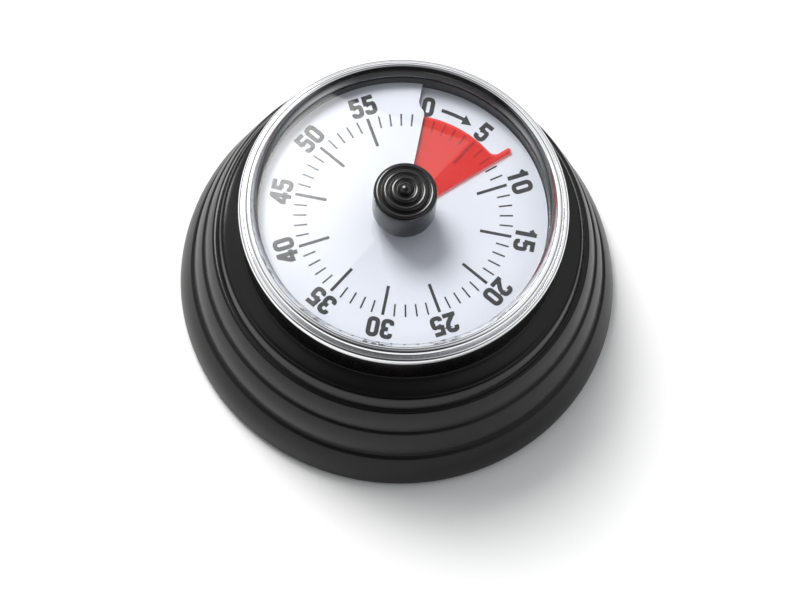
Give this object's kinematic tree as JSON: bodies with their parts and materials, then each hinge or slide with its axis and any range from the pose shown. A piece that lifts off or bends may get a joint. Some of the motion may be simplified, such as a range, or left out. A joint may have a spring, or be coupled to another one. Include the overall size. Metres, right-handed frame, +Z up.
{
  "type": "kitchen timer",
  "caption": "Round mechanical kitchen timer: stepped black case, chromed bezel, clear lens over a white dial, red elapsed-time disc and centre winding knob, bell movement inside.",
  "frame": {"origin": "centre of the underside, on the surface that the foot ring rests on", "axes": "+Z up through the knob along the winding axis, +Y towards minute 0 of the dial, minutes clockwise seen from above"},
  "size_m": [0.07, 0.0698, 0.038],
  "materials": {
    "black_moulding": "semi-gloss moulded ABS, fine moulding orange peel",
    "black_carrier": "satin moulded ABS",
    "black_knob": "glossy moulded ABS",
    "bezel_chrome": "polished chrome plate on ABS",
    "clear_lens": "clear polished styrene",
    "dial_white": "satin white moulding with charcoal print",
    "red_film": "translucent red film, glossy",
    "hub_plastic": "satin acetal",
    "foot_rubber": "matt rubber",
    "magnet_nickel": "nickel plate",
    "screw_steel": "zinc plated steel",
    "plate_brass": "lightly brushed brass",
    "wheel_brass": "stamped brass",
    "arbor_steel": "turned steel",
    "lever_steel": "stamped steel",
    "spring_steel": "blued spring steel",
    "bell_steel": "nickel plated steel"
  },
  "bodies": {
    "case": {"arbor_bush": "plate_brass", "back_cover": "black_moulding", "back_plate": "plate_brass", "bell": "bell_steel", "bell_post": "arbor_steel", "bell_screw": "screw_steel", "bezel": "bezel_chrome", "carrier_screws": "screw_steel", "cover_screws": "screw_steel", "dial": "dial_white", "dial_carrier": "black_carrier", "foot_ring": "foot_rubber", "front_plate": "plate_brass", "housing": "black_moulding", "lens": "clear_lens", "magnets": "magnet_nickel", "mainspring": "spring_steel", "pillar_screws": "screw_steel", "pillars": "plate_brass", "plate_screws": "screw_steel", "spring_post": "arbor_steel"},
    "arbor": {"knob": "black_knob", "main_arbor": "arbor_steel", "main_wheel": "wheel_brass", "ratchet_wheel": "lever_steel", "click": "lever_steel", "click_pin": "arbor_steel", "click_spring": "spring_steel", "trip_cam": "lever_steel"},
    "indicator": {"indicator_disc": "red_film", "indicator_hub": "hub_plastic"},
    "second_arbor": {"second_pinion": "arbor_steel", "second_wheel": "wheel_brass", "strike_star": "lever_steel"},
    "third_arbor": {"third_pinion": "arbor_steel", "third_wheel": "wheel_brass"},
    "escape_arbor": {"escape_pinion": "arbor_steel", "escape_wheel": "wheel_brass"},
    "anchor": {"pallet_anchor": "wheel_brass", "pallet_pins": "arbor_steel", "anchor_arbor": "arbor_steel"},
    "hammer": {"hammer_arm": "lever_steel", "hammer_head": "wheel_brass", "hammer_tail": "lever_steel", "hammer_arbor": "arbor_steel", "stop_finger": "lever_steel"},
    "trip": {"trip_lever": "lever_steel", "trip_arbor": "arbor_steel"}
  },
  "joints": [
    {"name": "knob_turn", "type": "hinge", "parent": "case", "child": "arbor", "pos_m": [0, 0, 0.015], "axis": [0, 0, -1], "range_deg": [-45.9, 314.1]},
    {"name": "indicator_climb", "type": "slide", "parent": "arbor", "child": "indicator", "axis": [0, 0, 1], "range_m": [-0.00015, 0.00105]},
    {"name": "second_turn", "type": "hinge", "parent": "case", "child": "second_arbor", "pos_m": [0.01278, 0.00465, 0.015], "axis": [0, 0, -1], "range_deg": [-2355.75, 344.25]},
    {"name": "third_turn", "type": "hinge", "parent": "case", "child": "third_arbor", "pos_m": [0.0071, 0.01264, 0.015], "axis": [0, 0, -1], "range_deg": [-2065.5, 14134.5]},
    {"name": "escape_turn", "type": "hinge", "parent": "case", "child": "escape_arbor", "pos_m": [-0.00008, 0.017, 0.015], "axis": [0, 0, -1], "range_deg": [-84807, 12393]},
    {"name": "anchor_rock", "type": "hinge", "parent": "case", "child": "anchor", "pos_m": [-0.00567, 0.01389, 0.015], "axis": [0, 0, 1], "range_deg": [-3, 3]},
    {"name": "hammer_swing", "type": "hinge", "parent": "case", "child": "hammer", "pos_m": [0.01412, -0.00506, 0.015], "axis": [0, 0, 1], "range_deg": [-1.5, 6]},
    {"name": "trip_lift", "type": "hinge", "parent": "case", "child": "trip", "pos_m": [0.00479, -0.01316, 0.015], "axis": [0, 0, 1], "range_deg": [-1, 5]}
  ],
  "couplings": [
    {"joint": "knob_turn", "follows": "indicator_climb", "rad_per_m": 5236},
    {"joint": "second_turn", "follows": "indicator_climb", "rad_per_m": -39270},
    {"joint": "third_turn", "follows": "indicator_climb", "rad_per_m": 235620},
    {"joint": "escape_turn", "follows": "indicator_climb", "rad_per_m": -1413700}
  ]
}
